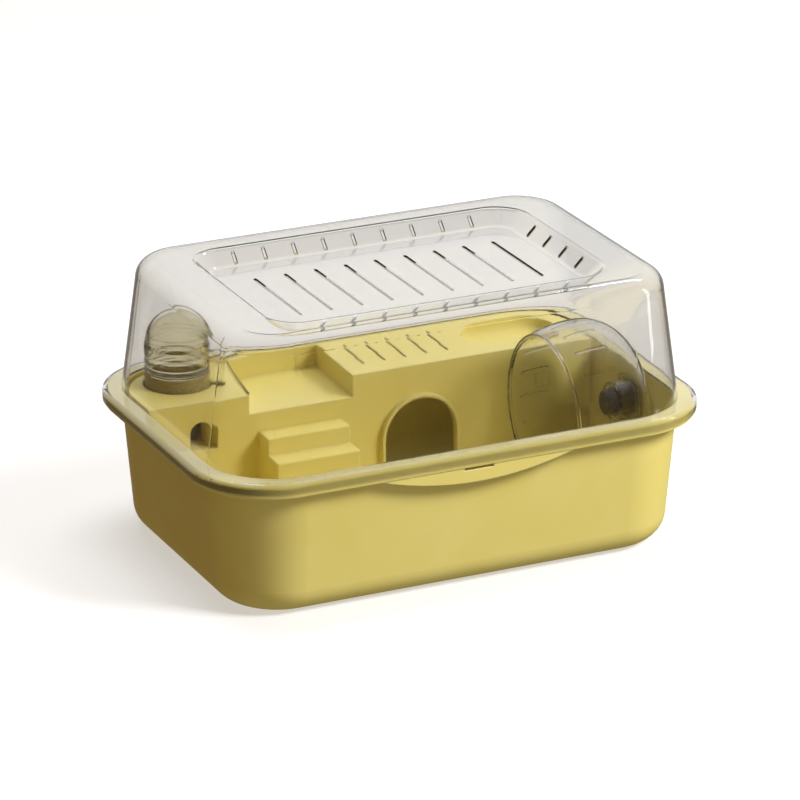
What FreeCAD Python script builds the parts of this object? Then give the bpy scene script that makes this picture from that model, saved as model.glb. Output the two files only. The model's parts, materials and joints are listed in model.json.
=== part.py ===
import FreeCAD, Part
import math
import os

# Hamster cage: a drafted tub with a turned-down rim, a clear lid that laps over the rim,
# a removable deck with stairs, nest chamber and water font, and a running wheel on ball bearings.
# Millimetres. Origin: centre of the tub's underside. +X along the long side, +Z up, front at -Y.

V = FreeCAD.Vector

# ---- driving dimensions -------------------------------------------------------------------
OVERALL_X = 460.0          # over the lid's lapped skirt
OVERALL_Y = 317.2
OVERALL_Z = 241.3
RIM_CORNER_R = 71.0        # plan radius of the lid's skirt

TUB_BASE_X = 205.4         # half sizes of the tub's foot, before its bottom rounding
TUB_BASE_Y = 137.0
TUB_BASE_R = 56.0
TUB_WALL = 2.6
TUB_DRAFT = 0.085          # outward lean of the walls, mm per mm of height
TUB_ROUND = 24.0           # rounding between wall and floor
RIM_TOP = 125.0
RIM_DROP = 11.5            # height of the rim's skirt
RIM_WALL = 2.4
RIM_GAP = 0.3              # between the tub's rim and the lid's skirt
LEDGE_TOP = 111.7          # ledges that carry the back of the deck
LEDGE_X = (-130.0, 0.0, 130.0)
LEDGE_HALF = 10.0
LEDGE_REACH = 3.5          # how far a ledge reaches in under the deck's skirt
LEDGE_THICK = 5.0

GRIP_HALF = 88.0           # half width of the smile-shaped grip under the front rim
GRIP_DROP = 13.5
LATCH_SLOT = (27.0, 2.4)   # width and height

LID_WALL = 2.1
LID_BASE_X = 214.0         # half sizes of the lid's wall where it meets its flange
LID_BASE_Y = 146.5
LID_BASE_R = 60.0
LID_LEAN = 15.9            # how far the wall leans in by the top
LID_ROUND = 16.5
FLANGE_TOP = 127.6
SKIRT_BOTTOM = 117.0
RECESS_X = 154.3           # half sizes of the vented recess in the lid's top
RECESS_Y = 97.6
RECESS_R = 30.0
RECESS_DEPTH = 13.0
RECESS_LIP = 4.0           # width of the rounded lip round the recess
RECESS_ROUND = 6.0         # rounding at the recess's lip and at its foot
VENT_PITCH = 27.8
VENT_COUNT = 9
VENT_WIDTH = 3.0
VENT_HALF = 48.2
END_VENT_PITCH = 29.8
END_VENT_COUNT = 4

DECK_WALL = 2.4
DECK_X = 208.0             # half sizes of the deck's outline
DECK_Y = 133.0
DECK_R = 51.0
DECK_FRONT = 47.0          # the face of the deck's front wall
DECK_TOP = 128.0           # slotted nest roof
LEFT_TOP = 125.5           # bottle plate
TERRACE_TOP = 108.0
DECK_SKIRT = 16.0
DECK_FOOT = 3.0
TERRACE_LEFT = ((-119.0, 47.0), (-109.0, 129.0))   # front and back of the slanted edge
TERRACE_RIGHT = ((-22.0, 47.0), (-19.5, 129.0))
TERRACE_BACK = 129.0
ROOF_SLOT_X = (-0.4, 19.6, 39.6, 59.6, 79.6)
ROOF_SLOT_Y = (68.5, 112.5)
ROOF_SLOT_WIDTH = 2.6
BOWL_CENTRE = (147.0, 89.0)
BOWL_HALF = (44.0, 25.5)
BOWL_DEPTH = 11.0

DOOR_X = 41.2
DOOR_R = 34.1
DOOR_TOP = 98.7
DOOR_SILL = 8.0
DOOR_FRAME = 2.6
DOOR_PROUD = 5.0

STAIR_LEFT = -109.5
STAIR_RIGHT = -34.0
STAIR_TOP = 91.0
STAIR_RISE = 15.3
STAIR_GOING = 20.6
STAIR_COUNT = 4
STAIR_WALL = 2.2
NOSING_R = 1.2

BOTTLE_X = -160.0
BOTTLE_Y = 99.5
WELL_R = 30.0
WELL_FLOOR = 75.8
BOTTLE_R = 27.2
DOME_R = 26.6              # the dome is a little narrower than the body below it
BOTTLE_TOP = 191.1
BODY_OVER = 1.5            # how far the body stands up past the dome's centre
BOTTLE_SEAM = 170.5        # height of the mould's seam round the dome
BOTTLE_BANDS = ((140.6, 1.8), (146.2, 3.0), (157.0, 7.0))  # middle height and half height of each swell
BAND_SWELL = 0.9
BOTTLE_WALL = 2.7
NECK_WALL = 1.8
BASE_R = 28.2
BASE_TOP = 136.5
FONT_LEVEL = 84.0          # water level in the drinking cup
FLOW_BORE = 3.3            # radius of the tube that the water comes down
FLOW_WALL = 1.1
FONT_X = -160.8
FONT_R = 10.2
FONT_TOP = 107.5
FONT_SILL = 83.0
KEY_ANGLE = -27.0          # the bottle's key rib, about the bottle's axis

WHEEL_Y = -31.0
WHEEL_Z = 96.5
WHEEL_R = 76.0             # at its widest
WHEEL_MOUTH_R = 68.6
WHEEL_WALL = 2.0
WHEEL_MOUTH = 121.5
WHEEL_WIDEST = 164.0       # where along X the drum is widest
WHEEL_BACK = 202.0
TREAD_COUNT = 20
TREAD_SPAN = (135.0, 163.0)
TREAD_HEIGHT = 1.3
TREAD_WIDTH = 2.0
MOUTH_LIP = (2.5, 1.0)     # depth along X and reach inwards of the lip at the drum's mouth
PAD_X = (151.0, 164.0)     # square pad on the running surface
PAD_Z = (-5.5, 7.5)        # from the wheel's axis
PAD_R = (72.2, 74.5)

BEARING_R = 8.0            # 688 bearings: 8 x 16 x 5
BEARING_BORE = 4.0
BEARING_W = 5.0
BEARING_X = (192.2, 199.2)
BALL_R = 1.19
BALL_PITCH_R = 6.0
BALL_COUNT = 9
TRACK_GAP = 0.05
CLIP_WIDTH = 0.9
CLIP_GROOVE = 0.6
NUT_R = 5.8                # across the corners, halved
HUB_GAP = 0.4              # between the drum's dished middle and the housing's mouth
HOUSING_R = 13.6
HUB_FLOOR = 2.4            # thickness of the drum's dished middle
HOUSING_X = (190.4, 207.0)
PLATE_X = (207.0, 209.0)
PLATE_HALF = 16.0
PLATE_Z = (82.0, 112.0)

EMBED = 1.0                # how far a feature reaches into the piece it grows from
FAR = 600.0


# ---- general shapes -----------------------------------------------------------------------
def box(x0, x1, y0, y1, z0, z1):
    return Part.makeBox(x1 - x0, y1 - y0, z1 - z0, V(x0, y0, z0))


def turned(x0, x1, r, y=WHEEL_Y, z=WHEEL_Z):
    """A cylinder along X, by default on the wheel's axis."""
    return Part.makeCylinder(r, x1 - x0, V(x0, y, z), V(1, 0, 0))


def upright(r, z0, z1, x=BOTTLE_X, y=BOTTLE_Y):
    """A cylinder along Z, by default on the bottle's axis."""
    return Part.makeCylinder(r, z1 - z0, V(x, y, z0), V(0, 0, 1))


def fuse(shapes):
    return shapes[0].multiFuse(shapes[1:]).removeSplitter()


def rounded_wire(corners):
    """Closed wire in the plane y = 0 through (x, z) or (x, z, radius) corners."""
    points = [V(c[0], 0, c[1]) for c in corners]
    radii = [c[2] if len(c) > 2 else 0.0 for c in corners]
    starts, ends, arcs = [], [], []
    count = len(points)
    for i, here in enumerate(points):
        back = (points[i - 1] - here).normalize()
        on = (points[(i + 1) % count] - here).normalize()
        if radii[i] == 0.0:
            starts.append(here)
            ends.append(here)
            arcs.append(None)
            continue
        half = back.getAngle(on) / 2.0
        reach = radii[i] / math.tan(half)
        middle = (back + on).normalize()
        crown = here + middle * (radii[i] / math.sin(half) - radii[i])
        starts.append(here + back * reach)
        ends.append(here + on * reach)
        arcs.append(Part.Arc(starts[-1], crown, ends[-1]).toShape())
    edges = []
    for i in range(count):
        if arcs[i]:
            edges.append(arcs[i])
        edges.append(Part.LineSegment(ends[i], starts[(i + 1) % count]).toShape())
    return Part.Wire(edges)


def rounded_block(half_x, half_y, r, z0, z1, x=0.0, y=0.0):
    """Upright block with rounded corners in plan."""
    corners = [(-half_x, -half_y, r), (half_x, -half_y, r), (half_x, half_y, r), (-half_x, half_y, r)]
    wire = rounded_wire(corners)
    wire.rotate(V(0, 0, 0), V(1, 0, 0), 90)
    wire.translate(V(x, y, z0))
    return Part.Face(wire).extrude(V(0, 0, z1 - z0))


def ring(section, half_x, half_y, r):
    """Sweep a section of (outward offset, height) corners round a rounded rectangle."""
    face = Part.Face(rounded_wire(section))
    pieces = []
    for quarter in range(4):
        angle = quarter * 90.0
        out = V(round(math.cos(math.radians(angle))), round(math.sin(math.radians(angle))), 0)
        along = V(-out.y, out.x, 0)
        reach = half_x if out.x else half_y
        run = 2.0 * ((half_y if out.x else half_x) - r)
        side = face.copy()
        side.rotate(V(0, 0, 0), V(0, 0, 1), angle)
        side.translate(out * reach - along * (run / 2.0))
        pieces.append(side.extrude(along * run))
        centre = out * (reach - r) + along * (run / 2.0)
        corner = face.copy()
        corner.rotate(V(0, 0, 0), V(0, 0, 1), angle)
        corner.translate(centre + out * r)
        pieces.append(corner.revolve(centre, V(0, 0, 1), 90.0))
    return fuse(pieces)


def revolved_x(corners, y=WHEEL_Y, z=WHEEL_Z):
    """Revolve (x, radius) corners about the wheel's axis."""
    face = Part.Face(rounded_wire(corners))
    face.translate(V(0, y, z))
    return face.revolve(V(0, y, z), V(1, 0, 0), 360.0)


def revolved_z(corners, x=BOTTLE_X, y=BOTTLE_Y):
    """Revolve (radius, z) corners about the bottle's axis."""
    face = Part.Face(rounded_wire(corners))
    face.translate(V(x, y, 0))
    return face.revolve(V(x, y, 0), V(0, 0, 1), 360.0)


def arch(x, r, sill, top, y0, y1):
    """A round-headed opening, run along Y."""
    head = Part.makeCylinder(r, y1 - y0, V(x, y0, top - r), V(0, 1, 0))
    return head.fuse(box(x - r, x + r, y0, y1, sill, top - r)).removeSplitter()


# ---- tub ----------------------------------------------------------------------------------
def drafted_core(inset, z0, z1, rounding):
    """The space inside the tub's walls, drawn in from their outer face by inset."""
    core = 30.0
    section = [(-core, z0), (TUB_DRAFT * z0 - inset, z0, rounding), (TUB_DRAFT * z1 - inset, z1), (-core, z1)]
    walls = ring(section, TUB_BASE_X, TUB_BASE_Y, TUB_BASE_R)
    middle = rounded_block(TUB_BASE_X - core, TUB_BASE_Y - core, TUB_BASE_R - core, z0, z1)
    return fuse([walls, middle])


def tub_rim():
    """Flat rim with a turned-down skirt, open over the tub's cavity."""
    out_x = OVERALL_X / 2.0 - LID_WALL - RIM_GAP
    out_y = OVERALL_Y / 2.0 - LID_WALL - RIM_GAP
    out_r = RIM_CORNER_R - LID_WALL - RIM_GAP
    width = 18.0
    under = RIM_TOP - RIM_WALL
    foot = RIM_TOP - RIM_DROP
    section = [(-width, under), (-RIM_WALL, under), (-RIM_WALL, foot), (0.0, foot, 0.9),
               (0.0, RIM_TOP, 3.0), (-width, RIM_TOP)]
    inside = TUB_DRAFT * RIM_TOP - TUB_WALL + 1.5
    opening = rounded_block(TUB_BASE_X + inside, TUB_BASE_Y + inside, TUB_BASE_R + inside,
                            under - EMBED, RIM_TOP + EMBED)
    return ring(section, out_x, out_y, out_r).cut(opening)


def grip():
    """Smile-shaped finger grip that hangs from the front rim, with a latch slot above it."""
    face_y = -(OVERALL_Y / 2.0 - LID_WALL - RIM_GAP) + 0.8
    top = RIM_TOP - RIM_DROP
    left, right = V(-GRIP_HALF, face_y, top), V(GRIP_HALF, face_y, top)
    smile = Part.Arc(left, V(0, face_y, top - GRIP_DROP), right).toShape()
    high = V(0, 0, EMBED)
    edges = [smile]
    for start, end in ((right, right + high), (right + high, left + high), (left + high, left)):
        edges.append(Part.LineSegment(start, end).toShape())
    plate = Part.Face(Part.Wire(edges)).extrude(V(0, RIM_WALL - 0.8, 0))
    half, height = LATCH_SLOT[0] / 2.0, LATCH_SLOT[1]
    return plate.cut(box(-half, half, face_y - EMBED, face_y + RIM_WALL, top - height, top))


def wall_bracket():
    """Clear channel, fixed to the right wall, that the wheel's plate drops into."""
    gap = 0.3
    wall = 2.0
    lip = 1.6
    outside = PLATE_HALF + gap + wall
    front = PLATE_X[0] - gap - wall
    low, high = PLATE_Z[0] - gap - wall, PLATE_Z[1] + 2.0
    reach = TUB_BASE_X + TUB_DRAFT * high
    channel = box(front, reach, WHEEL_Y - outside, WHEEL_Y + outside, low, high)
    hollow = box(PLATE_X[0] - gap, PLATE_X[1] + gap, WHEEL_Y - PLATE_HALF - gap,
                 WHEEL_Y + PLATE_HALF + gap, PLATE_Z[0] - gap, high + EMBED)
    window = box(front - EMBED, PLATE_X[0], WHEEL_Y - PLATE_HALF + lip, WHEEL_Y + PLATE_HALF - lip,
                 PLATE_Z[0] - gap, high + EMBED)
    inside_wall = drafted_core(TUB_WALL, TUB_WALL, RIM_TOP, TUB_ROUND - TUB_WALL)
    return channel.cut(fuse([hollow, window])).common(inside_wall)


def base_tub():
    core = 30.0
    lean = TUB_DRAFT * RIM_TOP
    section = [(-core, 0.0), (0.0, 0.0, TUB_ROUND), (lean, RIM_TOP), (lean - TUB_WALL, RIM_TOP, 1.5),
               (TUB_DRAFT * TUB_WALL - TUB_WALL, TUB_WALL, TUB_ROUND - TUB_WALL), (-core, TUB_WALL)]
    walls = ring(section, TUB_BASE_X, TUB_BASE_Y, TUB_BASE_R)
    floor = rounded_block(TUB_BASE_X - core, TUB_BASE_Y - core, TUB_BASE_R - core, 0.0, TUB_WALL)
    pieces = [walls, floor, tub_rim(), grip()]
    wall_y = TUB_BASE_Y + TUB_DRAFT * LEDGE_TOP - TUB_WALL
    for x in LEDGE_X:
        pieces.append(box(x - LEDGE_HALF, x + LEDGE_HALF, DECK_Y - LEDGE_REACH, wall_y + EMBED,
                          LEDGE_TOP - LEDGE_THICK, LEDGE_TOP))
    return fuse(pieces)


# ---- lid ----------------------------------------------------------------------------------
def lid_walls():
    """Flange, lapped skirt, leaning walls and the rounded shoulder."""
    width = 22.0
    under = FLANGE_TOP - 2.3
    flange = ring([(-width, under), (-LID_WALL, under, 2.6), (-LID_WALL, SKIRT_BOTTOM, 0.9),
                   (0.0, SKIRT_BOTTOM, 0.9), (0.0, FLANGE_TOP, 3.0), (-width, FLANGE_TOP)],
                  OVERALL_X / 2.0, OVERALL_Y / 2.0, RIM_CORNER_R)
    flange = flange.cut(rounded_block(LID_BASE_X - LID_WALL, LID_BASE_Y - LID_WALL, LID_BASE_R - LID_WALL,
                                      under - EMBED, FLANGE_TOP + EMBED))
    core = 45.0
    roof = OVERALL_Z - LID_WALL
    lean_in = LID_LEAN + LID_WALL
    wall = ring([(-LID_WALL, under), (0.0, under), (-LID_LEAN, OVERALL_Z, LID_ROUND), (-core, OVERALL_Z),
                 (-core, roof), (-lean_in, roof, LID_ROUND - LID_WALL)],
                LID_BASE_X, LID_BASE_Y, LID_BASE_R)
    top = rounded_block(LID_BASE_X - core, LID_BASE_Y - core, LID_BASE_R - core, roof, OVERALL_Z)
    top = top.cut(rounded_block(RECESS_X + RECESS_LIP, RECESS_Y + RECESS_LIP, RECESS_R + RECESS_LIP,
                                roof - EMBED, OVERALL_Z + EMBED))
    return fuse([flange, wall, top])


def lid_recess():
    """Shallow tray sunk into the lid's top, with sloping sides."""
    core = 26.0
    roof = OVERALL_Z - LID_WALL
    floor = OVERALL_Z - RECESS_DEPTH
    under = floor - LID_WALL
    skew = LID_WALL * (math.sqrt(2.0) - 1.0)
    section = [(RECESS_LIP, OVERALL_Z), (0.0, OVERALL_Z, RECESS_ROUND), (-RECESS_DEPTH, floor, RECESS_ROUND),
               (-core, floor), (-core, under), (skew - RECESS_DEPTH, under, RECESS_ROUND + LID_WALL),
               (skew, roof, RECESS_ROUND - LID_WALL), (RECESS_LIP, roof)]
    sides = ring(section, RECESS_X, RECESS_Y, RECESS_R)
    middle = rounded_block(RECESS_X - core, RECESS_Y - core, RECESS_R - core, under, floor)
    return fuse([sides, middle])


def lid_vents():
    """Long slots in the recess floor and short ones up its four sloping sides."""
    half = VENT_WIDTH / 2.0
    floor = OVERALL_Z - RECESS_DEPTH
    low, high = floor - 2.0 * LID_WALL, OVERALL_Z + EMBED
    short = (3.0, 10.5)       # a short slot's ends, in from the recess's edge
    cutters = []
    for i in range(VENT_COUNT):
        x = (i - (VENT_COUNT - 1) / 2.0) * VENT_PITCH
        cutters.append(rounded_block(half, VENT_HALF, half - 0.01, low, high, x, 0.0))
        for side in (-1, 1):
            ends = sorted((side * (RECESS_Y - short[0]), side * (RECESS_Y - short[1])))
            cutters.append(box(x - half, x + half, ends[0], ends[1], low, high))
    for i in range(END_VENT_COUNT):
        y = (i - (END_VENT_COUNT - 1) / 2.0) * END_VENT_PITCH
        for side in (-1, 1):
            ends = sorted((side * (RECESS_X - short[0]), side * (RECESS_X - short[1])))
            cutters.append(box(ends[0], ends[1], y - half, y + half, low, high))
    return cutters


def lid_shell():
    shell = fuse([lid_walls(), lid_recess()])
    return shell.cut(Part.makeCompound(lid_vents()))


# ---- deck ---------------------------------------------------------------------------------
def deck_outline(z0, z1, inset=0.0):
    """The deck's plan, behind its front wall."""
    block = rounded_block(DECK_X - inset, DECK_Y - inset, DECK_R - inset, z0, z1)
    return block.common(box(-FAR, FAR, DECK_FRONT + inset, FAR, z0, z1))


def slab(outline, z0, z1):
    """A plate from a closed list of (x, y) points."""
    points = [V(x, y, z0) for x, y in outline]
    return Part.Face(Part.makePolygon(points + points[:1])).extrude(V(0, 0, z1 - z0))


def terrace_plan(grow):
    """Plan of the sunken terrace, grown sideways and backwards by grow."""
    (left_x, left_y), (left_back_x, _) = TERRACE_LEFT
    (right_x, _), (right_back_x, _) = TERRACE_RIGHT
    back = TERRACE_BACK + grow
    return [(left_x - grow, left_y - EMBED), (right_x + grow, left_y - EMBED),
            (right_back_x + grow, back), (left_back_x - grow, back)]


def deck_plates():
    """Roof, bottle plate, sunken terrace, the skirt round the edge and the front wall."""
    roof = deck_outline(DECK_TOP - DECK_WALL, DECK_TOP)
    skirt = deck_outline(DECK_TOP - DECK_SKIRT, DECK_TOP).cut(
        deck_outline(DECK_TOP - DECK_SKIRT - EMBED, DECK_TOP, DECK_WALL))
    wall_space = drafted_core(TUB_WALL + 0.8, DECK_FOOT, RIM_TOP, TUB_ROUND - TUB_WALL)
    front = box(-DECK_X, DECK_X, DECK_FRONT, DECK_FRONT + DECK_WALL, DECK_FOOT, DECK_TOP - DECK_SKIRT + EMBED)
    front = front.common(wall_space)
    left_x, back_x = TERRACE_LEFT[0][0], TERRACE_LEFT[1][0]
    left_plan = [(-FAR, DECK_FRONT - EMBED), (left_x, DECK_FRONT - EMBED), (back_x, DECK_Y + EMBED),
                 (-FAR, DECK_Y + EMBED)]
    above_left = slab(left_plan, LEFT_TOP, DECK_TOP + EMBED)
    left = deck_outline(LEFT_TOP - DECK_WALL, LEFT_TOP).common(slab(left_plan, LEFT_TOP - DECK_WALL, LEFT_TOP))
    well = slab(terrace_plan(DECK_WALL), TERRACE_TOP - DECK_WALL, DECK_TOP)
    well = well.common(deck_outline(TERRACE_TOP - DECK_WALL, DECK_TOP))
    sunken = slab(terrace_plan(0.0), TERRACE_TOP, DECK_TOP + EMBED)
    body = fuse([roof, skirt, front, left, well])
    return body.cut(fuse([above_left, sunken]))


def roof_slots():
    """Cranked slots that air the nest chamber."""
    half = ROOF_SLOT_WIDTH / 2.0
    shift = 1.0
    front, back = ROOF_SLOT_Y
    crank = front + 0.40 * (back - front)
    cutters = []
    for x in ROOF_SLOT_X:
        plan = [(x - half - shift, front), (x + half - shift, front), (x + half - shift, crank - half),
                (x + half, crank + half), (x + half, back), (x - half, back), (x - half, crank + half),
                (x - half - shift, crank - half)]
        cutters.append(slab(plan, DECK_TOP - 2.0 * DECK_WALL, DECK_TOP + EMBED))
    return cutters


def rounded_pan(half_x, half_y, z0, z1, rounding):
    """Oval block with a rounded bottom edge."""
    pan = rounded_block(half_x, half_y, half_y - 0.5, z0, z1, *BOWL_CENTRE)
    bottom = [e for e in pan.Edges if e.BoundBox.ZMax < z0 + 0.01]
    return pan.makeFillet(rounding, bottom)


def door_opening(grow, y0, y1):
    return arch(DOOR_X, DOOR_R + grow, DOOR_SILL - grow, DOOR_TOP + grow, y0, y1)


def font_tunnel(grow, y0, y1):
    return arch(FONT_X, FONT_R + grow, FONT_SILL - grow, FONT_TOP + grow, y0, y1)


def platform_deck():
    body = deck_plates()
    bowl_low = DECK_TOP - BOWL_DEPTH
    pan = rounded_pan(BOWL_HALF[0] + DECK_WALL, BOWL_HALF[1] + DECK_WALL, bowl_low - DECK_WALL,
                      DECK_TOP - 0.5, 9.0)
    pan_hollow = rounded_pan(BOWL_HALF[0], BOWL_HALF[1], bowl_low, DECK_TOP + EMBED, 7.0)
    frame = door_opening(DOOR_FRAME, DECK_FRONT - DOOR_PROUD, DECK_FRONT + EMBED)
    well = upright(WELL_R + DECK_WALL, WELL_FLOOR - DECK_WALL, LEFT_TOP - 0.5)
    well_hollow = upright(WELL_R, WELL_FLOOR, LEFT_TOP + EMBED)
    key_space = box(0.0, WELL_R + 4.0, -4.5, 4.5, LEFT_TOP - 12.0, LEFT_TOP + EMBED)
    key_space.rotate(V(0, 0, 0), V(0, 0, 1), KEY_ANGLE)
    key_space.translate(V(BOTTLE_X, BOTTLE_Y, 0))
    tunnel = font_tunnel(DECK_WALL, DECK_FRONT, BOTTLE_Y - WELL_R)
    solid = fuse([body, pan.common(deck_outline(0.0, DECK_TOP)), frame, well, tunnel])
    cutters = [pan_hollow, door_opening(0.0, DECK_FRONT - 2.0 * DOOR_PROUD, DECK_FRONT + 2.0 * DECK_WALL),
               well_hollow, key_space, font_tunnel(0.0, DECK_FRONT - EMBED, BOTTLE_Y)]
    return solid.cut(Part.makeCompound(cutters + roof_slots())).removeSplitter()


def stair_block():
    """Open-backed flight that stands on the floor against the deck's front wall."""
    top_face = DECK_FRONT
    steps, hollows = [], []
    for i in range(STAIR_COUNT):
        high = STAIR_TOP - i * STAIR_RISE
        nose = DECK_FRONT - (i + 1) * STAIR_GOING
        steps.append(box(STAIR_LEFT, STAIR_RIGHT, nose, top_face, DECK_FOOT, high))
        hollows.append(box(STAIR_LEFT + STAIR_WALL, STAIR_RIGHT - STAIR_WALL, nose + STAIR_WALL,
                           top_face + EMBED, DECK_FOOT - EMBED, high - STAIR_WALL))
    flight = fuse(steps).cut(fuse(hollows))
    nosings = []
    for i in range(STAIR_COUNT):
        y, z = DECK_FRONT - (i + 1) * STAIR_GOING, STAIR_TOP - i * STAIR_RISE
        nosings += [e for e in flight.Edges if e.CenterOfMass.distanceToPoint(
            V((STAIR_LEFT + STAIR_RIGHT) / 2.0, y, z)) < 0.01]
    return flight.makeFillet(NOSING_R, nosings)


# ---- water bottle -------------------------------------------------------------------------
def bottle_swell(middle, half):
    """A rounded band that stands out from the reservoir's body."""
    foot = BOTTLE_R - EMBED
    crest = BOTTLE_R + BAND_SWELL
    flat = 0.5 * half
    return revolved_z([(foot, middle - half), (BOTTLE_R, middle - half), (crest, middle - flat, flat),
                       (crest, middle + flat, flat), (BOTTLE_R, middle + half), (foot, middle + half)])


def bottle_dome():
    """Clear reservoir: domed top, banded body, short neck, and the rib that keys it to the deck."""
    neck_r, neck_foot = 25.0, 120.0
    seam_r = 0.6
    rib_half, rib_proud, rib_top = 2.5, 4.4, 155.0
    shoulder = BASE_TOP + 0.4
    crown = BOTTLE_TOP - DOME_R
    body_top = crown + BODY_OVER
    seam_reach = math.sqrt(DOME_R ** 2 - (BOTTLE_SEAM - crown) ** 2)
    outer = [upright(BOTTLE_R, shoulder, body_top), upright(neck_r, neck_foot, shoulder + EMBED),
             Part.makeSphere(DOME_R, V(BOTTLE_X, BOTTLE_Y, crown)),
             Part.makeTorus(seam_reach - seam_r / 2.0, seam_r, V(BOTTLE_X, BOTTLE_Y, BOTTLE_SEAM))]
    outer += [bottle_swell(middle, half) for middle, half in BOTTLE_BANDS]
    rib = box(BOTTLE_R - EMBED, BOTTLE_R + rib_proud, -rib_half, rib_half, shoulder + 1.0, rib_top)
    tail = box(BASE_R + 0.3, BOTTLE_R + rib_proud, -rib_half, rib_half, LEFT_TOP - 8.0, shoulder + 2.0)
    for piece in (rib, tail):
        piece.rotate(V(0, 0, 0), V(0, 0, 1), KEY_ANGLE)
        piece.translate(V(BOTTLE_X, BOTTLE_Y, 0))
        outer.append(piece)
    hollow = [upright(BOTTLE_R - BOTTLE_WALL, shoulder + BOTTLE_WALL, body_top - BOTTLE_WALL),
              upright(neck_r - NECK_WALL, neck_foot - EMBED, crown),
              Part.makeSphere(DOME_R - BOTTLE_WALL, V(BOTTLE_X, BOTTLE_Y, crown))]
    return fuse(outer).cut(fuse(hollow))


def bottle_base():
    """Screw collar above, drinking cup below, with a window that faces the deck's arch."""
    wall = 1.8
    foot = WELL_FLOOR + 0.3
    shelf = (112.0, 118.0)
    body = upright(BASE_R, foot, BASE_TOP)
    cup = upright(BASE_R - wall, foot + wall, shelf[0])
    socket = upright(25.3, shelf[1], BASE_TOP + EMBED)
    outlet = upright(6.0, shelf[0] - EMBED, shelf[1] + EMBED)
    window = arch(FONT_X, FONT_R, FONT_LEVEL, FONT_TOP - 1.0, BOTTLE_Y - BASE_R - EMBED, BOTTLE_Y - 12.0)
    body = body.cut(fuse([cup, socket, outlet]))
    return body.cut(window)


def bottle_seal():
    return upright(25.0, 118.0, 119.8).cut(upright(20.5, 117.0, 121.0))


def flow_plug():
    """Plug in the shelf, with the tube that sets the water level."""
    head = upright(9.0, 118.0, 120.5)
    stem = upright(6.0, 110.0, 118.5)
    tube = upright(FLOW_BORE + FLOW_WALL, FONT_LEVEL + 2.0, 111.0)
    return fuse([head, stem, tube]).cut(upright(FLOW_BORE, FONT_LEVEL, 122.0))


# ---- running wheel ------------------------------------------------------------------------
def drum_curve(inset):
    """The drum's wall from mouth to back: a slow swell, then a quarter round."""
    swell_drop = WHEEL_R - WHEEL_MOUTH_R
    swell_run = WHEEL_WIDEST - WHEEL_MOUTH
    swell_r = (swell_run ** 2 + swell_drop ** 2) / (2.0 * swell_drop)
    swell_centre = V(WHEEL_WIDEST, 0, WHEEL_R - swell_r)
    back_r = WHEEL_BACK - WHEEL_WIDEST
    back_centre = V(WHEEL_WIDEST, 0, WHEEL_R - back_r)
    lean = math.asin(swell_run / swell_r)
    swell = [swell_centre + V(-math.sin(a), 0, math.cos(a)) * (swell_r - inset)
             for a in (lean, lean / 2.0, 0.0)]
    back = [back_centre + V(math.sin(a), 0, math.cos(a)) * (back_r - inset)
            for a in (0.0, math.pi / 4.0, math.pi / 2.0)]
    return [Part.Arc(*swell).toShape(), Part.Arc(*back).toShape()], swell[0], back[-1]


def tread_ribs():
    """Low ribs along the running surface, following its swell."""
    low, _, _ = drum_curve(WHEEL_WALL + TREAD_HEIGHT)
    high, _, _ = drum_curve(WHEEL_WALL / 2.0)
    inside, outside = low[0], high[0]
    ends = [(inside.firstVertex().Point, outside.firstVertex().Point),
            (inside.lastVertex().Point, outside.lastVertex().Point)]
    edges = [inside, outside] + [Part.LineSegment(a, b).toShape() for a, b in ends]
    layer = Part.Face(Part.Wire(Part.__sortEdges__(edges)))
    rib = layer.extrude(V(0, TREAD_WIDTH, 0))
    rib.translate(V(0, -TREAD_WIDTH / 2.0, 0))
    rib = rib.common(box(TREAD_SPAN[0], TREAD_SPAN[1], -TREAD_WIDTH, TREAD_WIDTH, 0.0, WHEEL_R))
    ribs = []
    for i in range(TREAD_COUNT):
        turned_rib = rib.copy()
        turned_rib.rotate(V(0, 0, 0), V(1, 0, 0), (i + 0.5) * 360.0 / TREAD_COUNT)
        turned_rib.translate(V(0, WHEEL_Y, WHEEL_Z))
        ribs.append(turned_rib)
    return ribs


def wheel_drum():
    """Clear drum: open at the mouth, swelling to a round back that is dished for the hub."""
    cup_r = HOUSING_R + 1.8
    floor_back = HOUSING_X[0] - HUB_GAP
    floor_front = floor_back - HUB_FLOOR
    outer, outer_mouth, outer_back = drum_curve(0.0)
    inner, inner_mouth, inner_back = drum_curve(WHEEL_WALL)
    dish = [outer_back, V(outer_back.x, 0, cup_r), V(floor_back, 0, cup_r), V(floor_back, 0, BEARING_BORE),
            V(floor_front, 0, BEARING_BORE), V(floor_front, 0, cup_r + WHEEL_WALL),
            V(inner_back.x, 0, cup_r + WHEEL_WALL), inner_back]
    lines = [Part.LineSegment(a, b).toShape() for a, b in zip(dish, dish[1:])]
    lines.append(Part.LineSegment(inner_mouth, outer_mouth).toShape())
    section = Part.Face(Part.Wire(Part.__sortEdges__(outer + inner + lines)))
    section.translate(V(0, WHEEL_Y, WHEEL_Z))
    shell = section.revolve(V(0, WHEEL_Y, WHEEL_Z), V(1, 0, 0), 360.0)
    depth, reach = MOUTH_LIP
    lip = turned(WHEEL_MOUTH, WHEEL_MOUTH + depth, WHEEL_MOUTH_R - WHEEL_WALL / 2.0).cut(
        turned(WHEEL_MOUTH - EMBED, WHEEL_MOUTH + depth + EMBED, WHEEL_MOUTH_R - WHEEL_WALL - reach))
    pad = box(PAD_X[0], PAD_X[1], WHEEL_Y + PAD_R[0], WHEEL_Y + PAD_R[1], WHEEL_Z + PAD_Z[0], WHEEL_Z + PAD_Z[1])
    return fuse([shell, lip, pad] + tread_ribs())


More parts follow.
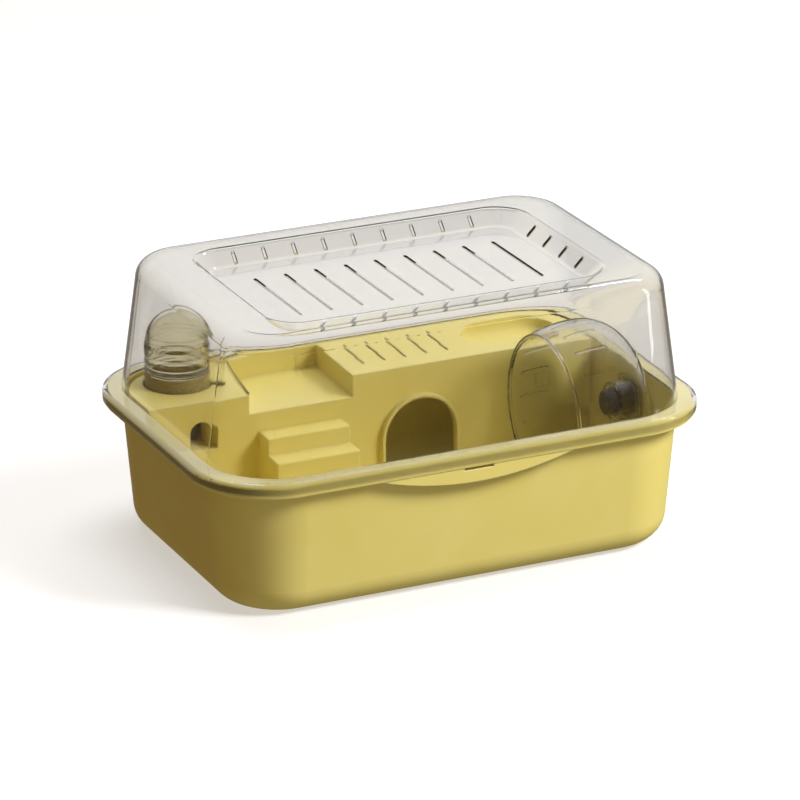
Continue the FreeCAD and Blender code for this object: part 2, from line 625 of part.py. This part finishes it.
def hub_housing():
    """Dark barrel that holds both bearings, with a pocket for the nut behind them."""
    body = revolved_x([(HOUSING_X[0], 0.0), (HOUSING_X[0], HOUSING_R, 1.2), (HOUSING_X[1], HOUSING_R),
                       (HOUSING_X[1], 0.0)])
    bore = turned(HOUSING_X[0] - EMBED, BEARING_X[1] + BEARING_W, BEARING_R)
    groove = turned(BEARING_X[0] - CLIP_WIDTH, BEARING_X[0], BEARING_R + CLIP_GROOVE)
    pocket = turned(BEARING_X[1], HOUSING_X[1] + EMBED, NUT_R + 0.7)
    return body.cut(fuse([bore, groove, pocket])).cut(plate_screws())


def plate_screws():
    """Three countersunk screws from behind the plate into the housing."""
    screws = []
    length, core_r, head_r, head_h, circle_r = 6.5, 1.1, 2.2, 1.1, 10.6
    for i in range(3):
        angle = math.radians(90.0 + 120.0 * i)
        y = WHEEL_Y + circle_r * math.cos(angle)
        z = WHEEL_Z + circle_r * math.sin(angle)
        back = PLATE_X[1]
        shank = turned(back - length, back, core_r, y, z)
        head = Part.makeCone(core_r, head_r, head_h, V(back - head_h, y, z), V(1, 0, 0))
        screws.append(shank.fuse(head).removeSplitter())
    return Part.makeCompound(screws)


def wheel_wall_plate():
    plate = box(PLATE_X[0], PLATE_X[1], WHEEL_Y - PLATE_HALF, WHEEL_Y + PLATE_HALF, PLATE_Z[0], PLATE_Z[1])
    upright_edges = [e for e in plate.Edges if abs(e.Vertexes[0].X - e.Vertexes[-1].X) > EMBED]
    return plate.makeFillet(2.0, upright_edges).cut(plate_screws())


def groove():
    """Ball track, cut into both rings."""
    return [Part.makeTorus(BALL_PITCH_R, BALL_R + TRACK_GAP, V(x + BEARING_W / 2.0, WHEEL_Y, WHEEL_Z), V(1, 0, 0))
            for x in BEARING_X]


def bearing_rings(outside, inside):
    rings = [turned(x, x + BEARING_W, outside).cut(turned(x - EMBED, x + BEARING_W + EMBED, inside))
             for x in BEARING_X]
    return Part.makeCompound([part.cut(track) for part, track in zip(rings, groove())])


def ball_places():
    for x in BEARING_X:
        for i in range(BALL_COUNT):
            angle = 2.0 * math.pi * i / BALL_COUNT
            yield V(x + BEARING_W / 2.0, WHEEL_Y + BALL_PITCH_R * math.cos(angle),
                    WHEEL_Z + BALL_PITCH_R * math.sin(angle))


def bearing_balls():
    return Part.makeCompound([Part.makeSphere(BALL_R, place) for place in ball_places()])


def bearing_cages():
    """One pierced band per bearing, with a pocket round each ball."""
    half, middle, thick = 1.7, BEARING_W / 2.0, 0.4
    bands = [turned(x + middle - half, x + middle + half, BALL_PITCH_R + thick).cut(
        turned(x, x + BEARING_W, BALL_PITCH_R - thick)) for x in BEARING_X]
    pockets = Part.makeCompound([Part.makeSphere(BALL_R + 0.03, place) for place in ball_places()])
    return Part.makeCompound([band.cut(pockets) for band in bands])


def housing_circlip():
    """Split ring that keeps the front bearing in its bore."""
    back = BEARING_X[0]
    body = turned(back - CLIP_WIDTH, back, BEARING_R + CLIP_GROOVE).cut(
        turned(back - 2.0 * CLIP_WIDTH, back + EMBED, BEARING_R - 0.8))
    split = box(back - 2.0 * CLIP_WIDTH, back + EMBED, WHEEL_Y - 2.0, WHEEL_Y + 2.0,
                WHEEL_Z, WHEEL_Z + 2.0 * BEARING_R)
    return body.cut(split)


def sleeve(x0, x1, outside):
    """A ring on the axle."""
    return turned(x0, x1, outside).cut(turned(x0 - EMBED, x1 + EMBED, BEARING_BORE))


def axle_bolt():
    """Bolt from inside the drum, through both bearings."""
    front = HOUSING_X[0] - HUB_GAP - HUB_FLOOR
    head_h, slot_w, slot_h = 2.6, 1.4, 1.6
    head = turned(front - head_h, front, 7.0)
    shank = turned(front, HOUSING_X[1] - 0.3, BEARING_BORE)
    slot = box(front - head_h, front - head_h + slot_h, WHEEL_Y - 4.0, WHEEL_Y + 4.0,
               WHEEL_Z - slot_w / 2.0, WHEEL_Z + slot_w / 2.0)
    return fuse([head, shank]).cut(slot)


def axle_washer():
    return sleeve(HOUSING_X[0] - HUB_GAP, BEARING_X[0], 5.6)


def bearing_spacer():
    return sleeve(BEARING_X[0] + BEARING_W, BEARING_X[1], 5.2)


def axle_nut():
    x0, thick = BEARING_X[1] + BEARING_W, 2.4
    points = [V(x0, WHEEL_Y + NUT_R * math.cos(math.radians(60 * i)),
                WHEEL_Z + NUT_R * math.sin(math.radians(60 * i))) for i in range(7)]
    body = Part.Face(Part.makePolygon(points)).extrude(V(thick, 0, 0))
    return body.cut(turned(x0 - EMBED, x0 + 2.0 * thick, BEARING_BORE))


def bearing_inner_rings():
    return bearing_rings(5.2, BEARING_BORE)


def bearing_outer_rings():
    return bearing_rings(BEARING_R, 6.8)


def hub_cap():
    """Chew-proof cap over the bolt's head."""
    seat = HOUSING_X[0] - HUB_GAP - HUB_FLOOR
    depth, outside, inside, top, rounding = 8.0, 11.6, 8.4, 2.0, 3.0
    return revolved_x([(seat - depth, 0.0), (seat - depth, outside, rounding), (seat, outside), (seat, inside),
                       (seat - depth + top, inside), (seat - depth + top, 0.0)])


NODES = {
    "base_tub": base_tub,
    "wall_bracket": wall_bracket,
    "lid_shell": lid_shell,
    "platform_deck": platform_deck,
    "stair_block": stair_block,
    "bottle_dome": bottle_dome,
    "bottle_base": bottle_base,
    "bottle_seal": bottle_seal,
    "flow_plug": flow_plug,
    "wheel_drum": wheel_drum,
    "hub_cap": hub_cap,
    "axle_bolt": axle_bolt,
    "axle_washer": axle_washer,
    "bearing_spacer": bearing_spacer,
    "axle_nut": axle_nut,
    "bearing_inner_rings": bearing_inner_rings,
    "bearing_outer_rings": bearing_outer_rings,
    "bearing_balls": bearing_balls,
    "bearing_cages": bearing_cages,
    "hub_housing": hub_housing,
    "housing_circlip": housing_circlip,
    "wheel_wall_plate": wheel_wall_plate,
    "plate_screws": plate_screws,
}

os.makedirs("parts", exist_ok=True)
for name, make in NODES.items():
    shape = make()
    shape.exportStep("parts/%s.step" % name)
    solids = shape.Solids
    print(name, len(solids), "solids", "valid" if shape.isValid() else "NOT VALID",
          "%.0f mm3" % sum(s.Volume for s in solids))
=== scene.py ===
import json
import math

import bpy
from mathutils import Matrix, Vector

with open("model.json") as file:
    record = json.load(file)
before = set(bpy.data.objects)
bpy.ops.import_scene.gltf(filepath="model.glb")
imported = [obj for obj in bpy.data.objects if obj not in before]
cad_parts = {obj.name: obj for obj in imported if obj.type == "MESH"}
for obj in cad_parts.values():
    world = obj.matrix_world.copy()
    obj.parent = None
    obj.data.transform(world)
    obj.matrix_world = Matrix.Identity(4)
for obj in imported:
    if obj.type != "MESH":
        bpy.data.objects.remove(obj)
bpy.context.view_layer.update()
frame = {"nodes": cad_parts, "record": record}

MM = 0.001

# ---- colours of the pieces, linear -----------------------------------------------------------
WHITE = (1.0, 1.0, 1.0, 1.0)
TUB_YELLOW = (0.815, 0.712, 0.242, 1.0)
TUB_YELLOW_DEEP = (0.790, 0.675, 0.205, 1.0)
LID_CLEAR = (0.968, 0.968, 0.966, 1.0)
WHEEL_CLEAR = (0.960, 0.955, 0.940, 1.0)
BOTTLE_CLEAR = (0.940, 0.915, 0.780, 1.0)
COLLAR_OLIVE = (0.470, 0.370, 0.150, 1.0)
HUB_BLACK = (0.045, 0.043, 0.046, 1.0)
HUB_BLACK_DEEP = (0.032, 0.031, 0.033, 1.0)
SEAL_GREY = (0.700, 0.690, 0.650, 1.0)
SCREW_ZINC = (0.560, 0.560, 0.550, 1.0)
BEARING_BRIGHT = (0.680, 0.680, 0.690, 1.0)
BALL_CAGE_BRASS = (0.690, 0.500, 0.200, 1.0)

# ---- plastic ---------------------------------------------------------------------------------
POLYSTYRENE_IOR = 1.52
LAMP_SHADE = 0.78                 # how much lamp light one face of clear plastic lets through
WAVE_STRENGTH = 0.12              # the slow waviness of clear moulded walls
WAVE_DEPTH = 0.4 * MM
SMEAR_HAZE = 0.05                 # roughness that each mark adds to clear plastic
SCRATCH_HAZE = 0.10
SPECK_HAZE = 0.22
EDGE_SOFTNESS = 1.2 * MM          # how round a moulded edge catches light
EDGE_SAMPLES = 6
EDGE_HIGHLIGHT_PALE = 0.50                  # how far the painted edge highlight fades the colour towards white
RUB_POLISH = -0.08                # handling polishes the satin skin
GRAIN_STRENGTH = 0.10
GRAIN_DEPTH = 0.05 * MM

# ---- metal and rubber ------------------------------------------------------------------------
METAL_EDGE = 0.2 * MM
METAL_DULL = 0.82                 # how dark rubbed metal is beside fresh metal
METAL_STAIN = 0.10                # roughness that stains add
METAL_GRAIN_STRENGTH = 0.06
METAL_GRAIN_DEPTH = 0.02 * MM
SEAL_GRAIN = 0.25 * MM
SEAL_SEED = 9.0
SEAL_DARK = 0.85
SEAL_ROUGHNESS = (0.55, 0.72)
SEAL_GRAIN_STRENGTH = 0.2
SEAL_GRAIN_DEPTH = 0.03 * MM
SEAL_GLOW = 0.15                  # light that soaks into the ring
SEAL_GLOW_DEPTH = 1.0 * MM

# ---- noises of the wear; a scale is in repeats per metre, a range is where a mark starts and is full
FINE_GRAIN = dict(Detail=3.0, Roughness=0.6)
FLOW_MARKS = dict(Scale=14.0, Detail=3.0, Roughness=0.45, Distortion=0.8)
HANDLING_RUB = dict(Scale=38.0, Detail=5.0, Roughness=0.65, Distortion=0.3)
SLOW_WAVE = dict(Detail=2.0, Roughness=0.4)
SMEARS = dict(Scale=22.0, Detail=4.0, Roughness=0.6, Distortion=1.4)
HAIRLINES = dict(Scale=30.0, Detail=2.0, Roughness=0.5)
SPECKS = dict(Scale=900.0, Detail=2.0, Roughness=0.7)
HAIRLINE_TURN = (0.4, 0.7, 0.5)
HAIRLINE_STRETCH = (1.0, 22.0, 22.0)
EDGE_RANGE = (0.995, 0.80)        # agreement of the rounded normal with the face, flat to sharp; also where the painted edge highlight starts and is full
FLOW_RANGE = (0.30, 0.70)
RUB_RANGE = (0.42, 0.68)
SMEAR_RANGE = (0.45, 0.72)
SCRATCH_RANGE = (0.66, 0.74)
SPECK_RANGE = (0.60, 0.72)

# ---- camera ----------------------------------------------------------------------------------
VIEW_AZIMUTH = -25.2
VIEW_ELEVATION = 21.0
VIEW_DISTANCE = 4.1095
VIEW_TARGET = Vector((0.0, 0.0, 0.120))
VIEW_LENS = 217.9
VIEW_SENSOR = 36.0
VIEW_SHIFT = (0.0016, -0.0034)
VIEW_REACH = 50.0

# ---- studio ----------------------------------------------------------------------------------
FLOOR_PALE = (0.600, 0.612, 0.640, 1.0)
FLOOR_DIM = (0.060, 0.045, 0.025, 1.0)        # what light that has already bounced finds below
FLOOR_ROUGHNESS = 0.9
FLOOR_LIFT = 0.46                             # keeps the floor near white in view
FLOOR_LEVEL = -0.2 * MM
FLOOR_REACH = 8.0
STUDIO_BRIGHT = (1.00, 1.00, 0.99, 1.0)       # the room behind and above
STUDIO_DARK = (0.120, 0.080, 0.040, 1.0)      # the room in front, to the left and below
STUDIO_TURN = (0.40, 0.75, 0.60)              # the way the room grows brighter
STUDIO_RANGE = (0.35, 0.95)
FILL_BRIGHT = (0.450, 0.420, 0.320, 1.0)      # soft light from low in front, on the right
FILL_DARK = (0.200, 0.135, 0.060, 1.0)
FILL_TURN = (0.50, -0.60, -0.60)              # the way that soft light comes from
FILL_RANGE = (-0.20, 0.70)
CLEAR_BOUNCES = 24                            # enough to pass the lid, the drum and the font
CAGE_MIDDLE = (0.0, 0.0, 0.1)
LAMPS = {
    "key": dict(place=(1.9, -1.9, 2.3), target=CAGE_MIDDLE, size=(1.1, 1.1), power=132.0,
                colour=(1.0, 0.985, 0.95)),
    "overhead": dict(place=(0.1, 0.5, 2.4), target=CAGE_MIDDLE, size=(1.8, 1.2), power=39.0,
                     colour=(1.0, 0.99, 0.98)),
    "corner_gleam": dict(place=(1.08, -0.64, 0.45), target=(0.2, -0.12, 0.2), size=(0.16, 0.95),
                         power=2.6, colour=WHITE[:3], gleam=True),
    "top_gleam": dict(place=(0.9, 0.5, 1.3), target=(0.16, -0.03, 0.15), size=(0.5, 0.12),
                      power=3.0, colour=WHITE[:3], gleam=True),
}

# Sockets of a Mix node that blends colours.
MIX_FACTOR, MIX_A, MIX_B, MIX_RESULT = 0, 6, 7, 2


# ---- small node helpers ----------------------------------------------------------------------
def group(name, inputs, outputs):
    """An empty shader group with (name, kind, default) inputs and (name, kind) outputs."""
    tree = bpy.data.node_groups.new(name, "ShaderNodeTree")
    for label, kind, value in inputs:
        socket = tree.interface.new_socket(name=label, in_out="INPUT", socket_type="NodeSocket" + kind)
        socket.default_value = value
    for label, kind in outputs:
        tree.interface.new_socket(name=label, in_out="OUTPUT", socket_type="NodeSocket" + kind)
    return tree, tree.nodes.new("NodeGroupInput"), tree.nodes.new("NodeGroupOutput")


def node(tree, kind, **values):
    """A node with its sockets set by name, and attributes given with a leading underscore."""
    made = tree.nodes.new("ShaderNode" + kind)
    for name, value in values.items():
        if name.startswith("_"):
            setattr(made, name[1:], value)
        else:
            made.inputs[name.replace("_", " ")].default_value = value
    return made


def math_node(tree, operation, a, b, clamp=False):
    """A Math node; a and b are sockets or numbers."""
    made = node(tree, "Math", _operation=operation, _use_clamp=clamp)
    for slot, value in enumerate((a, b)):
        if isinstance(value, bpy.types.NodeSocket):
            tree.links.new(value, made.inputs[slot])
        else:
            made.inputs[slot].default_value = value
    return made.outputs[0]


def mix_colour(tree, factor, a, b):
    """Blend of two colours; each is a socket or a colour."""
    made = node(tree, "Mix", _data_type="RGBA")
    for slot, value in ((MIX_FACTOR, factor), (MIX_A, a), (MIX_B, b)):
        if isinstance(value, bpy.types.NodeSocket):
            tree.links.new(value, made.inputs[slot])
        else:
            made.inputs[slot].default_value = value
    return made.outputs[MIX_RESULT]


def spread(tree, value, limits, results=(0.0, 1.0)):
    """The value's limits stretched over the results, and held there past them."""
    made = node(tree, "MapRange", From_Min=limits[0], From_Max=limits[1],
                To_Min=results[0], To_Max=results[1])
    tree.links.new(value, made.inputs["Value"])
    return made.outputs["Result"]


def seeded_place(tree, ins):
    """Places on the piece, shifted by the group's seed so that no two finishes wear alike."""
    place = tree.nodes.new("ShaderNodeTexCoord")
    shift = node(tree, "VectorMath", _operation="ADD")
    tree.links.new(place.outputs["Object"], shift.inputs[0])
    tree.links.new(ins.outputs["Seed"], shift.inputs[1])
    return shift.outputs[0]


def noise(tree, place, settings):
    """A noise laid over the piece."""
    made = node(tree, "TexNoise", **settings)
    tree.links.new(place, made.inputs["Vector"])
    return made


# ---- effects shared by the finishes ----------------------------------------------------------
def soft_edge_group():
    """Where a moulded piece has an edge, and the rounded normal that catches the light there."""
    tree, ins, outs = group("soft_edge", [("Radius", "Float", EDGE_SOFTNESS)],
                            [("Edge", "Float"), ("Normal", "Vector")])
    bevel = node(tree, "Bevel", _samples=EDGE_SAMPLES)
    tree.links.new(ins.outputs["Radius"], bevel.inputs["Radius"])
    surface = tree.nodes.new("ShaderNodeNewGeometry")
    agreement = node(tree, "VectorMath", _operation="DOT_PRODUCT")
    tree.links.new(bevel.outputs["Normal"], agreement.inputs[0])
    tree.links.new(surface.outputs["Normal"], agreement.inputs[1])
    # the Edge mask also marks where opaque plastic gets its painted highlight
    tree.links.new(spread(tree, agreement.outputs["Value"], EDGE_RANGE), outs.inputs["Edge"])
    tree.links.new(bevel.outputs["Normal"], outs.inputs["Normal"])
    return tree


def mould_grain_group():
    """Fine spark-eroded mould grain, slow flow marks, and the rub of handling."""
    tree, ins, outs = group("mould_grain",
                            [("Grain Size", "Float", 0.5 * MM), ("Seed", "Float", 0.0)],
                            [("Height", "Float"), ("Flow", "Float"), ("Rub", "Float")])
    place = seeded_place(tree, ins)
    fine = noise(tree, place, FINE_GRAIN)
    tree.links.new(math_node(tree, "DIVIDE", 1.0, ins.outputs["Grain Size"]), fine.inputs["Scale"])
    flow = noise(tree, place, FLOW_MARKS)
    rub = noise(tree, place, HANDLING_RUB)
    tree.links.new(fine.outputs["Fac"], outs.inputs["Height"])
    tree.links.new(spread(tree, flow.outputs["Fac"], FLOW_RANGE), outs.inputs["Flow"])
    tree.links.new(spread(tree, rub.outputs["Fac"], RUB_RANGE), outs.inputs["Rub"])
    return tree


def clear_wear_group():
    """Marks in clear plastic: a slow waviness, faint smears, hairline scratches and fine specks."""
    tree, ins, outs = group("clear_wear",
                            [("Wave Size", "Float", 18.0 * MM), ("Seed", "Float", 0.0)],
                            [("Height", "Float"), ("Smear", "Float"), ("Scratch", "Float"),
                             ("Speckle", "Float")])
    place = seeded_place(tree, ins)
    wave = noise(tree, place, SLOW_WAVE)
    tree.links.new(math_node(tree, "DIVIDE", 1.0, ins.outputs["Wave Size"]), wave.inputs["Scale"])
    smear = noise(tree, place, SMEARS)
    stretch = node(tree, "Mapping", _vector_type="POINT", Rotation=HAIRLINE_TURN,
                   Scale=HAIRLINE_STRETCH)
    tree.links.new(place, stretch.inputs["Vector"])
    hair = noise(tree, stretch.outputs["Vector"], HAIRLINES)
    speck = noise(tree, place, SPECKS)
    tree.links.new(wave.outputs["Fac"], outs.inputs["Height"])
    tree.links.new(spread(tree, smear.outputs["Fac"], SMEAR_RANGE), outs.inputs["Smear"])
    tree.links.new(spread(tree, hair.outputs["Fac"], SCRATCH_RANGE), outs.inputs["Scratch"])
    tree.links.new(spread(tree, speck.outputs["Fac"], SPECK_RANGE), outs.inputs["Speckle"])
    return tree


EFFECTS = {
    "soft_edge": soft_edge_group(),
    "mould_grain": mould_grain_group(),
    "clear_wear": clear_wear_group(),
}


def effect(tree, name, **values):
    """One of the shared effects, placed in a finish with its own values."""
    made = tree.nodes.new("ShaderNodeGroup")
    made.node_tree = EFFECTS[name]
    for label, value in values.items():
        made.inputs[label.replace("_", " ")].default_value = value
    return made


def bump(tree, height, strength, distance, normal=None):
    """The normal of a surface with this height, laid over a softened normal where one is given."""
    made = node(tree, "Bump", Strength=strength, Distance=distance)
    tree.links.new(height, made.inputs["Height"])
    if normal is not None:
        tree.links.new(normal, made.inputs["Normal"])
    return made.outputs["Normal"]


def material(name):
    """A material with one Principled shader."""
    made = bpy.data.materials.new(name)
    made.use_nodes = True
    return made, made.node_tree, made.node_tree.nodes["Principled BSDF"]


def darker(colour, share):
    """The colour with its light cut to this share."""
    return tuple(c * share for c in colour[:3]) + (1.0,)


# ---- the finishes ----------------------------------------------------------------------------
def opaque_plastic(name, colour, deep, roughness, grain, seed):
    """Moulded plastic: satin skin, fine grain, rounded edges, and a painted highlight that pales the
    colour along the edges.
    """
    made, tree, shader = material(name)
    skin = effect(tree, "mould_grain", Grain_Size=grain, Seed=seed)
    edge = effect(tree, "soft_edge", Radius=EDGE_SOFTNESS)
    shade = mix_colour(tree, skin.outputs["Flow"], colour, deep)
    # painted highlight: along moulded edges the base colour is paled towards white
    painted_edge_highlight = tuple(c + (1.0 - c) * EDGE_HIGHLIGHT_PALE for c in colour[:3]) + (1.0,)
    wear_and_painted_highlight = mix_colour(tree, edge.outputs["Edge"], shade, painted_edge_highlight)
    tree.links.new(wear_and_painted_highlight, shader.inputs["Base Color"])
    rub = math_node(tree, "MULTIPLY", skin.outputs["Rub"], RUB_POLISH)
    tree.links.new(math_node(tree, "ADD", rub, roughness), shader.inputs["Roughness"])
    tree.links.new(bump(tree, skin.outputs["Height"], GRAIN_STRENGTH, GRAIN_DEPTH, edge.outputs["Normal"]),
                   shader.inputs["Normal"])
    shader.inputs["IOR"].default_value = POLYSTYRENE_IOR
    return made


def clear_plastic(name, colour, roughness, wave, seed, clarity=1.0):
    """Moulded plastic that lets light and the lamps through; clarity is below 1 for a milky one."""
    made, tree, shader = material(name)
    wear = effect(tree, "clear_wear", Wave_Size=wave, Seed=seed)
    shader.inputs["Base Color"].default_value = colour
    shader.inputs["Transmission Weight"].default_value = clarity
    shader.inputs["IOR"].default_value = POLYSTYRENE_IOR
    smear = math_node(tree, "MULTIPLY", wear.outputs["Smear"], SMEAR_HAZE)
    scratch = math_node(tree, "MULTIPLY", wear.outputs["Scratch"], SCRATCH_HAZE)
    specks = math_node(tree, "MULTIPLY", wear.outputs["Speckle"], SPECK_HAZE)
    marks = math_node(tree, "ADD", math_node(tree, "ADD", smear, scratch), specks)
    tree.links.new(math_node(tree, "ADD", marks, roughness), shader.inputs["Roughness"])
    tree.links.new(bump(tree, wear.outputs["Height"], WAVE_STRENGTH, WAVE_DEPTH), shader.inputs["Normal"])
    path = tree.nodes.new("ShaderNodeLightPath")
    through = node(tree, "BsdfTransparent", Color=darker(colour, LAMP_SHADE * clarity))
    mix = tree.nodes.new("ShaderNodeMixShader")
    tree.links.new(path.outputs["Is Shadow Ray"], mix.inputs[0])
    tree.links.new(shader.outputs["BSDF"], mix.inputs[1])
    tree.links.new(through.outputs["BSDF"], mix.inputs[2])
    tree.links.new(mix.outputs["Shader"], tree.nodes["Material Output"].inputs["Surface"])
    return made


def metal(name, colour, roughness, grain, seed):
    """Bare metal, duller where it is rubbed and rougher where it is stained."""
    made, tree, shader = material(name)
    skin = effect(tree, "mould_grain", Grain_Size=grain, Seed=seed)
    edge = effect(tree, "soft_edge", Radius=METAL_EDGE)
    wear_and_painted_highlight = mix_colour(tree, skin.outputs["Rub"], colour, darker(colour, METAL_DULL))
    tree.links.new(wear_and_painted_highlight, shader.inputs["Base Color"])
    shader.inputs["Metallic"].default_value = 1.0
    stain = math_node(tree, "MULTIPLY", skin.outputs["Flow"], METAL_STAIN)
    tree.links.new(math_node(tree, "ADD", stain, roughness), shader.inputs["Roughness"])
    tree.links.new(bump(tree, skin.outputs["Height"], METAL_GRAIN_STRENGTH, METAL_GRAIN_DEPTH,
                        edge.outputs["Normal"]), shader.inputs["Normal"])
    return made


def rubber(name, colour):
    """The font's seal: matt, and a little light soaks in."""
    made, tree, shader = material(name)
    skin = effect(tree, "mould_grain", Grain_Size=SEAL_GRAIN, Seed=SEAL_SEED)
    shade = mix_colour(tree, skin.outputs["Flow"], colour, darker(colour, SEAL_DARK))
    tree.links.new(shade, shader.inputs["Base Color"])
    tree.links.new(spread(tree, skin.outputs["Rub"], (0.0, 1.0), SEAL_ROUGHNESS),
                   shader.inputs["Roughness"])
    tree.links.new(bump(tree, skin.outputs["Height"], SEAL_GRAIN_STRENGTH, SEAL_GRAIN_DEPTH),
                   shader.inputs["Normal"])
    shader.inputs["Subsurface Weight"].default_value = SEAL_GLOW
    shader.inputs["Subsurface Scale"].default_value = SEAL_GLOW_DEPTH
    return made


RECIPES = {
    "yellow_plastic": (opaque_plastic, dict(colour=TUB_YELLOW, deep=TUB_YELLOW_DEEP,
                                            roughness=0.42, grain=0.45 * MM, seed=0.0)),
    "clear_lid_plastic": (clear_plastic, dict(colour=LID_CLEAR, roughness=0.02, wave=26.0 * MM, seed=1.0)),
    "clear_wheel_plastic": (clear_plastic, dict(colour=WHEEL_CLEAR, roughness=0.02, wave=14.0 * MM,
                                                seed=2.0)),
    "clear_bottle_plastic": (clear_plastic, dict(colour=BOTTLE_CLEAR, roughness=0.015, wave=10.0 * MM,
                                                 seed=3.0)),
    "smoked_plastic": (clear_plastic, dict(colour=COLLAR_OLIVE, roughness=0.22, wave=8.0 * MM, seed=4.0,
                                           clarity=0.4)),
    "dark_plastic": (opaque_plastic, dict(colour=HUB_BLACK, deep=HUB_BLACK_DEEP,
                                          roughness=0.38, grain=0.3 * MM, seed=5.0)),
    "seal_rubber": (rubber, dict(colour=SEAL_GREY)),
    "screw_steel": (metal, dict(colour=SCREW_ZINC, roughness=0.30, grain=0.3 * MM, seed=6.0)),
    "bearing_steel": (metal, dict(colour=BEARING_BRIGHT, roughness=0.12, grain=0.2 * MM, seed=7.0)),
    "cage_brass": (metal, dict(colour=BALL_CAGE_BRASS, roughness=0.25, grain=0.2 * MM, seed=8.0)),
}
FINISHES = {slot: make(slot, **values) for slot, (make, values) in RECIPES.items()}


def dress_nodes():
    """Every piece takes the finish that its record names."""
    for part in frame["record"]["subparts"]:
        piece = frame["nodes"][part["node"]]
        piece.data.materials.clear()
        piece.data.materials.append(FINISHES[part["material_slot"]])


# ---- stage -----------------------------------------------------------------------------------
def floor_material():
    """Paper that is pale in view, and dim to light that has already bounced."""
    made, tree, shader = material("floor_paper")
    shader.inputs["Roughness"].default_value = FLOOR_ROUGHNESS
    shader.inputs["Emission Color"].default_value = WHITE
    path = tree.nodes.new("ShaderNodeLightPath")
    bounced = math_node(tree, "ADD", path.outputs["Glossy Depth"], path.outputs["Diffuse Depth"],
                        clamp=True)
    tree.links.new(mix_colour(tree, bounced, FLOOR_PALE, FLOOR_DIM), shader.inputs["Base Color"])
    lift = math_node(tree, "MULTIPLY", path.outputs["Is Camera Ray"], FLOOR_LIFT)
    tree.links.new(lift, shader.inputs["Emission Strength"])
    return made


def make_floor():
    """A wide flat floor just under the tub, kept out of glints and of bounced light."""
    mesh = bpy.data.meshes.new("floor")
    corners = [(x * FLOOR_REACH, y * FLOOR_REACH, FLOOR_LEVEL)
               for x, y in ((-1, -1), (1, -1), (1, 1), (-1, 1))]
    mesh.from_pydata(corners, [], [(0, 1, 2, 3)])
    mesh.materials.append(floor_material())
    floor = bpy.data.objects.new("floor", mesh)
    floor.visible_glossy = False
    floor.visible_diffuse = False
    bpy.context.scene.collection.objects.link(floor)


def aim(thing, place, target):
    """Stands a camera or a lamp at the place and turns it to the target."""
    thing.location = place
    thing.rotation_euler = (Vector(target) - Vector(place)).to_track_quat("-Z", "Y").to_euler()


def make_camera():
    """A long lens, a little above the cage and round to its left."""
    camera = bpy.data.cameras.new("camera")
    camera.sensor_width = VIEW_SENSOR
    camera.lens = VIEW_LENS
    camera.shift_x, camera.shift_y = VIEW_SHIFT
    camera.clip_end = VIEW_REACH
    seat = bpy.data.objects.new("camera", camera)
    turn = math.radians(VIEW_AZIMUTH)
    rise = math.radians(VIEW_ELEVATION)
    away = Vector((math.sin(turn) * math.cos(rise), -math.cos(turn) * math.cos(rise), math.sin(rise)))
    aim(seat, VIEW_TARGET + away * VIEW_DISTANCE, VIEW_TARGET)
    bpy.context.scene.collection.objects.link(seat)
    bpy.context.scene.camera = seat


def area_light(name, place, target, size, power, colour, gleam=False):
    """A soft box; with gleam it is a strip that is only seen reflected."""
    lamp = bpy.data.lights.new(name, "AREA")
    lamp.shape = "RECTANGLE"
    lamp.size, lamp.size_y = size
    lamp.energy = power
    lamp.color = colour
    seat = bpy.data.objects.new(name, lamp)
    seat.visible_camera = False
    seat.visible_transmission = False
    seat.visible_glossy = gleam
    seat.visible_diffuse = not gleam
    aim(seat, place, target)
    bpy.context.scene.collection.objects.link(seat)


def graded(tree, way, turn, limits, dark, bright):
    """A colour that goes from dark to bright the more the way points along the turn."""
    facing = node(tree, "VectorMath", _operation="DOT_PRODUCT")
    facing.inputs[1].default_value = turn
    tree.links.new(way, facing.inputs[0])
    return mix_colour(tree, spread(tree, facing.outputs["Value"], limits), dark, bright)


def studio_world():
    """Reflections see a room that is pale behind the cage; soft light comes from low in front."""
    world = bpy.data.worlds.new("studio")
    world.use_nodes = True
    tree = world.node_tree
    way = tree.nodes.new("ShaderNodeTexCoord").outputs["Generated"]
    room = graded(tree, way, STUDIO_TURN, STUDIO_RANGE, STUDIO_DARK, STUDIO_BRIGHT)
    fill = graded(tree, way, FILL_TURN, FILL_RANGE, FILL_DARK, FILL_BRIGHT)
    path = tree.nodes.new("ShaderNodeLightPath")
    tree.links.new(mix_colour(tree, path.outputs["Is Diffuse Ray"], room, fill),
                   tree.nodes["Background"].inputs["Color"])
    bpy.context.scene.world = world


def set_exposure():
    """Plain colours, and enough bounces for light to pass every clear wall."""
    scene = bpy.context.scene
    scene.view_settings.view_transform = "Standard"
    scene.cycles.max_bounces = CLEAR_BOUNCES
    scene.cycles.transmission_bounces = CLEAR_BOUNCES
    scene.cycles.transparent_max_bounces = CLEAR_BOUNCES


dress_nodes()
make_floor()
make_camera()
for lamp_name, lamp_values in LAMPS.items():
    area_light(lamp_name, **lamp_values)
studio_world()
set_exposure()
